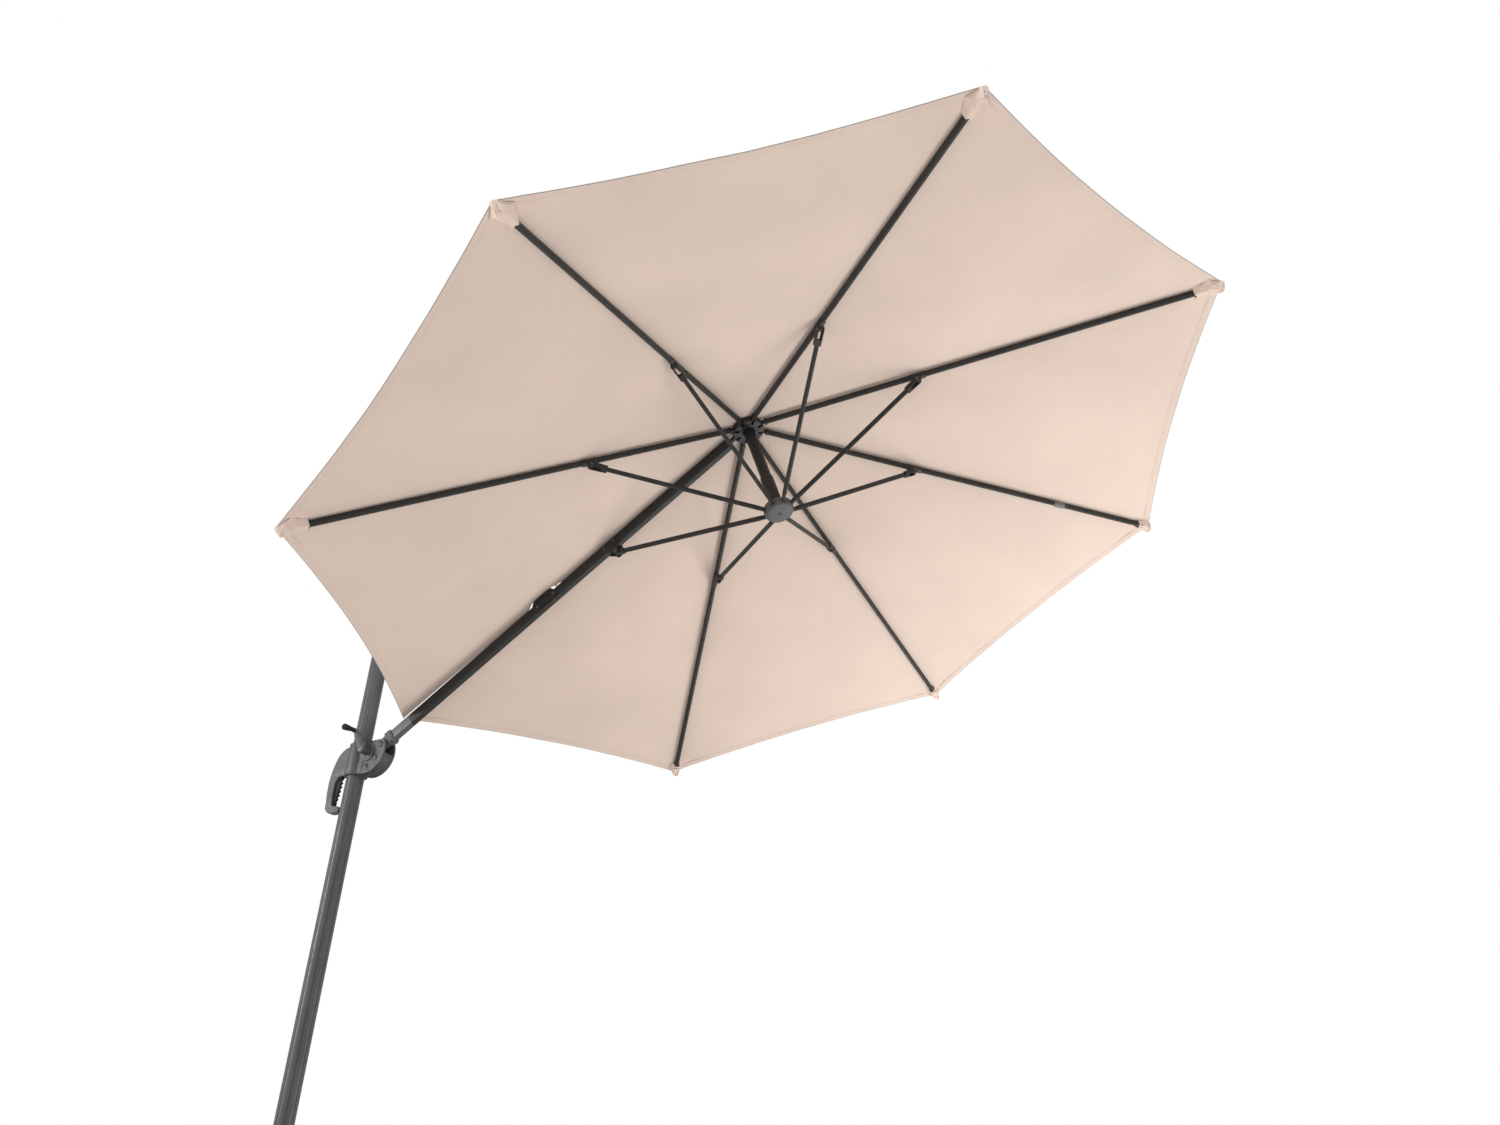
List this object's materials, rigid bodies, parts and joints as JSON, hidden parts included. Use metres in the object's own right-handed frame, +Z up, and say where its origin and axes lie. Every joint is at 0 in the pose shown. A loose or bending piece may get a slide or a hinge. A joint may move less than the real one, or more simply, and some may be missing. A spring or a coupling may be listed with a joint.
{
  "type": "cantilever parasol",
  "caption": "Octagonal canopy hung from a tilting arm beside a round swivelling mast, with a sliding crank carriage, folding ribs and struts, and a slab-weighted cross base.",
  "frame": {"origin": "on the ground, on the mast's axis", "axes": "+X from the mast towards the canopy, +Z up, +Y to the left of +X; the crank is on the -Y side"},
  "size_m": [3.6095, 3.006, 2.5601],
  "materials": {
    "coated_aluminium": "satin",
    "coated_steel": "satin",
    "plated_steel": "satin",
    "dark_plastic": "matte",
    "black_rubber": "matte",
    "concrete": "matte",
    "canopy_fabric": "matte"
  },
  "bodies": {
    "base": {"base_beam_across": "coated_steel", "base_beam_along": "coated_steel", "base_centre_plate": "coated_steel", "swivel_bearing": "dark_plastic", "ballast_slab_1": "concrete", "ballast_slab_2": "concrete", "ballast_slab_3": "concrete", "ballast_slab_4": "concrete", "pedal_pin": "plated_steel"},
    "pedal": {"pedal": "dark_plastic"},
    "mast": {"mast_socket": "coated_steel", "socket_screw": "dark_plastic", "mast_tube": "coated_aluminium", "mast_head": "dark_plastic", "mast_cap": "dark_plastic"},
    "upper_strut": {"upper_strut": "coated_aluminium"},
    "arm": {"arm_tube": "coated_aluminium", "arm_heel": "dark_plastic", "arm_tongue": "dark_plastic", "strut_bracket_upper": "coated_aluminium", "strut_bracket_lower": "coated_aluminium", "canopy_panel_0": "canopy_fabric"},
    "carriage": {"carriage_bush": "dark_plastic", "carriage_shell_near": "dark_plastic", "carriage_shell_far": "dark_plastic", "carriage_grip": "dark_plastic"},
    "trigger": {"grip_trigger": "black_rubber"},
    "crank": {"crank_shaft": "plated_steel", "cord_spool": "dark_plastic", "crank_handle": "dark_plastic"},
    "crown": {"crown_hub": "dark_plastic", "crown_cap": "dark_plastic"},
    "arm_strut_body": {"arm_strut": "coated_aluminium"},
    "runner": {"runner_hub": "dark_plastic", "runner_post": "coated_aluminium"},
    "rib_1_body": {"rib_1": "coated_aluminium", "canopy_panel_1": "canopy_fabric"},
    "strut_1_body": {"strut_1": "coated_aluminium"},
    "rib_2_body": {"rib_2": "coated_aluminium", "canopy_panel_2": "canopy_fabric"},
    "strut_2_body": {"strut_2": "coated_aluminium"},
    "rib_3_body": {"rib_3": "coated_aluminium", "canopy_panel_3": "canopy_fabric"},
    "strut_3_body": {"strut_3": "coated_aluminium"},
    "rib_4_body": {"rib_4": "coated_aluminium", "canopy_panel_4": "canopy_fabric"},
    "strut_4_body": {"strut_4": "coated_aluminium"},
    "rib_5_body": {"rib_5": "coated_aluminium", "canopy_panel_5": "canopy_fabric"},
    "strut_5_body": {"strut_5": "coated_aluminium"},
    "rib_6_body": {"rib_6": "coated_aluminium", "canopy_panel_6": "canopy_fabric"},
    "strut_6_body": {"strut_6": "coated_aluminium"},
    "rib_7_body": {"rib_7": "coated_aluminium", "canopy_panel_7": "canopy_fabric"},
    "strut_7_body": {"strut_7": "coated_aluminium"}
  },
  "joints": [
    {"name": "mast_swivel", "type": "hinge", "parent": "base", "child": "mast", "pos_m": [0, 0, 0.06], "axis": [0, 0, 1], "continuous": true},
    {"name": "pedal_press", "type": "hinge", "parent": "base", "child": "pedal", "pos_m": [-0.092, 0, 0.0783], "axis": [0, -1, 0], "range_deg": [0, 12], "stiffness_Nm_per_rad": 4, "springref_deg": -5.73},
    {"name": "canopy_tilt", "type": "hinge", "parent": "mast", "child": "upper_strut", "pos_m": [0.06, 0, 2.52583], "axis": [0, 1, 0], "range_deg": [-18.8, 40]},
    {"name": "arm_hinge", "type": "hinge", "parent": "upper_strut", "child": "arm", "pos_m": [0.71385, 0, 2.01592], "axis": [0, 1, 0], "range_deg": [-80, 37.6]},
    {"name": "carriage_hinge", "type": "hinge", "parent": "arm", "child": "carriage", "pos_m": [0.06, 0, 1.506], "axis": [0, 1, 0], "range_deg": [-18.8, 40]},
    {"name": "grip_release", "type": "hinge", "parent": "carriage", "child": "trigger", "pos_m": [-0.079, 0, 1.446], "axis": [0, 1, 0], "range_deg": [0, 5], "stiffness_Nm_per_rad": 2, "springref_deg": -5.73},
    {"name": "crank_turn", "type": "hinge", "parent": "carriage", "child": "crank", "pos_m": [0.06, 0, 1.506], "axis": [0, 1, 0], "range_deg": [0, 2970]},
    {"name": "canopy_fold", "type": "hinge", "parent": "arm", "child": "crown", "pos_m": [1.47271, 0, 2.4552], "axis": [0, 1, 0], "range_deg": [0, 66], "deforming": ["canopy_panel_0"]},
    {"name": "rib_1_hinge", "type": "hinge", "parent": "crown", "child": "rib_1_body", "pos_m": [1.48519, -0.03182, 2.45945], "axis": [0.6694, -0.7071, 0.2279], "range_deg": [0, 66], "deforming": ["canopy_panel_1"]},
    {"name": "strut_1_hinge", "type": "hinge", "parent": "rib_1_body", "child": "strut_1_body", "pos_m": [1.18168, -0.41709, 2.15552], "axis": [-0.6694, 0.7071, -0.2279], "range_deg": [0, 132]},
    {"name": "rib_2_hinge", "type": "hinge", "parent": "crown", "child": "rib_2_body", "pos_m": [1.51531, -0.045, 2.46971], "axis": [0.9466, 0, 0.3223], "range_deg": [0, 66], "deforming": ["canopy_panel_2"]},
    {"name": "strut_2_hinge", "type": "hinge", "parent": "rib_2_body", "child": "strut_2_body", "pos_m": [1.57651, -0.58985, 2.28993], "axis": [-0.9466, 0, -0.3223], "range_deg": [0, 132]},
    {"name": "rib_3_hinge", "type": "hinge", "parent": "crown", "child": "rib_3_body", "pos_m": [1.54543, -0.03182, 2.47996], "axis": [0.6694, 0.7071, 0.2279], "range_deg": [0, 66], "deforming": ["canopy_panel_3"]},
    {"name": "strut_3_hinge", "type": "hinge", "parent": "rib_3_body", "child": "strut_3_body", "pos_m": [1.97135, -0.41709, 2.42435], "axis": [-0.6694, -0.7071, -0.2279], "range_deg": [0, 132]},
    {"name": "rib_4_hinge", "type": "hinge", "parent": "crown", "child": "rib_4_body", "pos_m": [1.55791, 0, 2.48421], "axis": [0, 1, 0], "range_deg": [0, 66], "deforming": ["canopy_panel_4"]},
    {"name": "strut_4_hinge", "type": "hinge", "parent": "rib_4_body", "child": "strut_4_body", "pos_m": [2.1349, 0, 2.48002], "axis": [0, -1, 0], "range_deg": [0, 132]},
    {"name": "rib_5_hinge", "type": "hinge", "parent": "crown", "child": "rib_5_body", "pos_m": [1.54543, 0.03182, 2.47996], "axis": [-0.6694, 0.7071, -0.2279], "range_deg": [0, 66], "deforming": ["canopy_panel_5"]},
    {"name": "strut_5_hinge", "type": "hinge", "parent": "rib_5_body", "child": "strut_5_body", "pos_m": [1.97135, 0.41709, 2.42435], "axis": [0.6694, -0.7071, 0.2279], "range_deg": [0, 132]},
    {"name": "rib_6_hinge", "type": "hinge", "parent": "crown", "child": "rib_6_body", "pos_m": [1.51531, 0.045, 2.46971], "axis": [-0.9466, 0, -0.3223], "range_deg": [0, 66], "deforming": ["canopy_panel_6"]},
    {"name": "strut_6_hinge", "type": "hinge", "parent": "rib_6_body", "child": "strut_6_body", "pos_m": [1.57651, 0.58985, 2.28993], "axis": [0.9466, 0, 0.3223], "range_deg": [0, 132]},
    {"name": "rib_7_hinge", "type": "hinge", "parent": "crown", "child": "rib_7_body", "pos_m": [1.48519, 0.03182, 2.45945], "axis": [-0.6694, -0.7071, -0.2279], "range_deg": [0, 66], "deforming": ["canopy_panel_7"]},
    {"name": "strut_7_hinge", "type": "hinge", "parent": "rib_7_body", "child": "strut_7_body", "pos_m": [1.18168, 0.41709, 2.15552], "axis": [0.6694, 0.7071, 0.2279], "range_deg": [0, 132]},
    {"name": "arm_strut_hinge", "type": "hinge", "parent": "arm", "child": "arm_strut_body", "pos_m": [1.01813, 0, 2.09984], "axis": [0, 1, 0], "range_deg": [0, 132]},
    {"name": "runner_hinge", "type": "hinge", "parent": "arm_strut_body", "child": "runner", "pos_m": [1.59511, 0, 2.09566], "axis": [0, -1, 0], "range_deg": [0, 66]}
  ],
  "couplings": [
    {"joint": "arm_hinge", "follows": "canopy_tilt", "ratio": -2},
    {"joint": "carriage_hinge", "follows": "canopy_tilt", "ratio": 1},
    {"joint": "crank_turn", "follows": "canopy_fold", "ratio": 45},
    {"joint": "rib_1_hinge", "follows": "canopy_fold", "ratio": 1},
    {"joint": "strut_1_hinge", "follows": "canopy_fold", "ratio": 2},
    {"joint": "rib_2_hinge", "follows": "canopy_fold", "ratio": 1},
    {"joint": "strut_2_hinge", "follows": "canopy_fold", "ratio": 2},
    {"joint": "rib_3_hinge", "follows": "canopy_fold", "ratio": 1},
    {"joint": "strut_3_hinge", "follows": "canopy_fold", "ratio": 2},
    {"joint": "rib_4_hinge", "follows": "canopy_fold", "ratio": 1},
    {"joint": "strut_4_hinge", "follows": "canopy_fold", "ratio": 2},
    {"joint": "rib_5_hinge", "follows": "canopy_fold", "ratio": 1},
    {"joint": "strut_5_hinge", "follows": "canopy_fold", "ratio": 2},
    {"joint": "rib_6_hinge", "follows": "canopy_fold", "ratio": 1},
    {"joint": "strut_6_hinge", "follows": "canopy_fold", "ratio": 2},
    {"joint": "rib_7_hinge", "follows": "canopy_fold", "ratio": 1},
    {"joint": "strut_7_hinge", "follows": "canopy_fold", "ratio": 2},
    {"joint": "arm_strut_hinge", "follows": "canopy_fold", "ratio": 2},
    {"joint": "runner_hinge", "follows": "canopy_fold", "ratio": 1}
  ]
}
